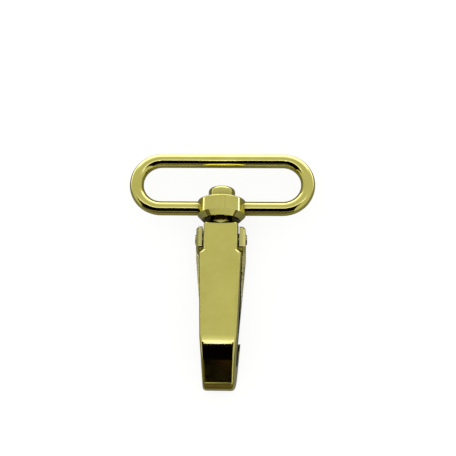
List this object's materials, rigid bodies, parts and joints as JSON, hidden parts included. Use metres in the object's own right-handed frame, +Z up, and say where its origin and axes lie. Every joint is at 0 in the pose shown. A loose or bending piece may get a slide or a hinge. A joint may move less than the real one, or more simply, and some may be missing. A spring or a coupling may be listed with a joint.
{
  "type": "snap hook",
  "caption": "Swivel snap hook with a long strap loop, a flat J-shaped hook and a sprung push gate behind it.",
  "frame": {"origin": "middle of the hook's length and width, on the surface that it lies on", "axes": "+X along the strap loop, +Y from the hook's bottom to the strap loop, +Z up, out of the front plate; the swivel axis leans 4.2 degrees down towards the loop"},
  "size_m": [0.0448, 0.057, 0.0117],
  "materials": {
    "gold_plate": "polished light-gold plating on die-cast zinc",
    "plated_pin": "light-gold plated steel",
    "spring_steel": "drawn spring wire"
  },
  "bodies": {
    "hook": {"hook_body": "gold_plate", "gate_spring": "spring_steel"},
    "loop": {"strap_loop": "gold_plate"},
    "gate": {"gate": "gold_plate", "gate_pin": "plated_pin"}
  },
  "joints": [
    {"name": "swivel", "type": "hinge", "parent": "hook", "child": "loop", "pos_m": [0, 0.01461, 0.00584], "axis": [0, 0.9973, -0.074], "continuous": true},
    {"name": "gate_pivot", "type": "hinge", "parent": "hook", "child": "gate", "pos_m": [0, 0.00712, 0.0049], "axis": [-1, 0, 0], "range_deg": [0, 12], "stiffness_Nm_per_rad": 0.02, "springref_deg": -34.38, "deforming": ["gate_spring"]}
  ]
}
